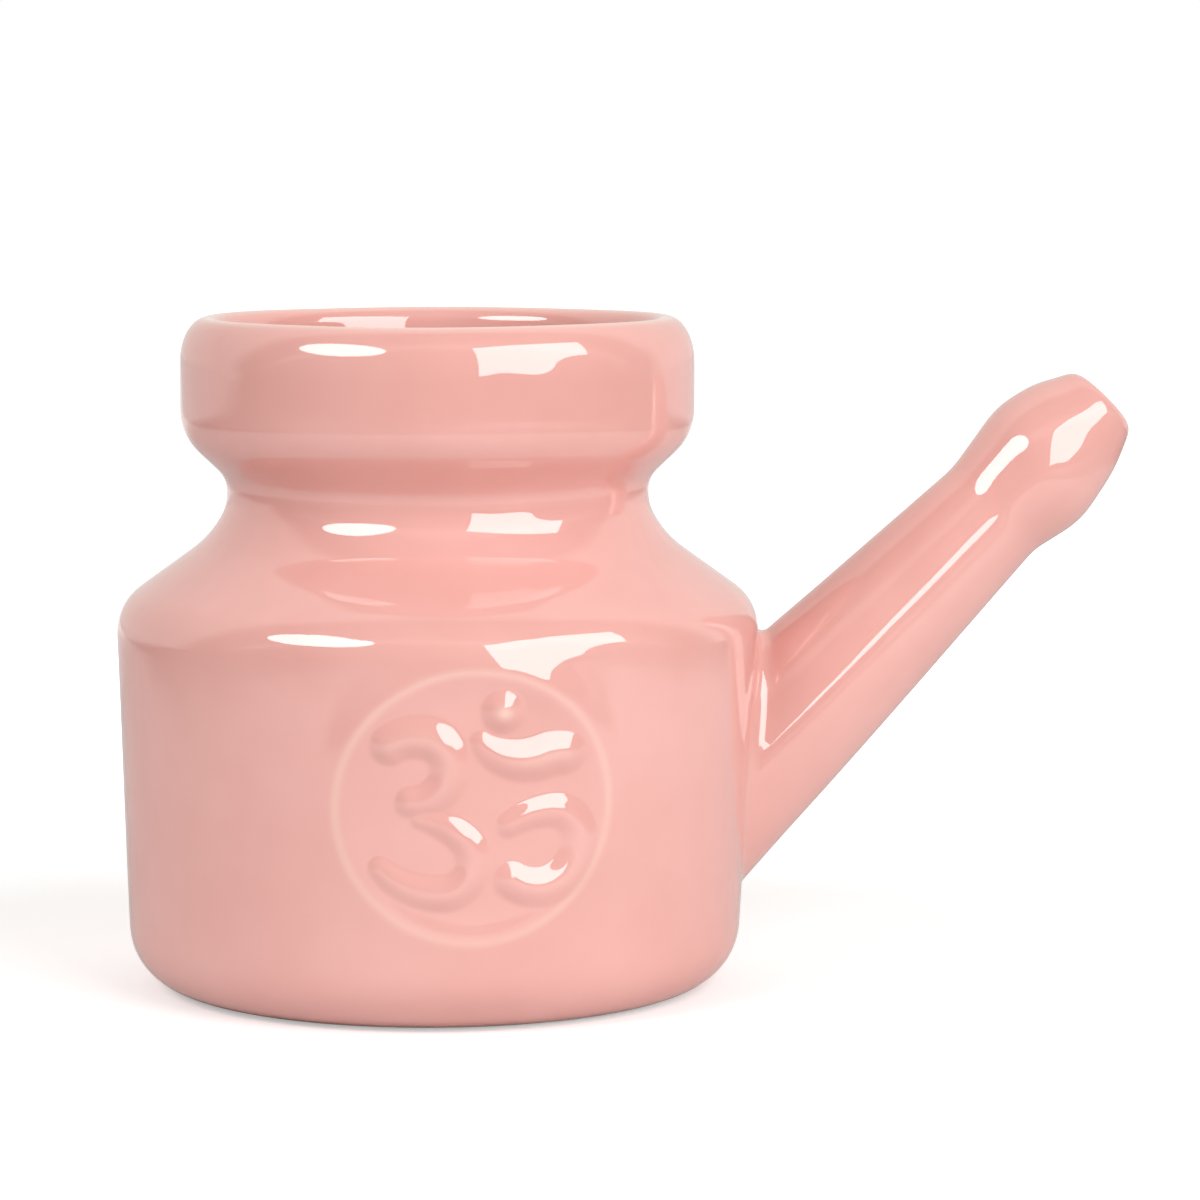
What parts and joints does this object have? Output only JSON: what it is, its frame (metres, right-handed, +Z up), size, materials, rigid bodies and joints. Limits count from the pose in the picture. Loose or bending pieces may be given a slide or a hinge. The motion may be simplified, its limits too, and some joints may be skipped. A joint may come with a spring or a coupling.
{
  "type": "neti pot",
  "caption": "Glazed ceramic nasal rinsing pot: turned jar body with a waisted neck and wide collar, a slanting spout with an olive-shaped tip, and a round relief medallion on the front.",
  "frame": {"origin": "middle of the foot, on the body's axis, in the plane that the pot stands on", "axes": "+Z up along the body's axis, +X towards the spout, so the medallion faces -Y"},
  "size_m": [0.1552, 0.0977, 0.1015],
  "materials": {
    "glaze": "gloss"
  },
  "bodies": {
    "root": {"pot": "glaze"}
  },
  "joints": []
}
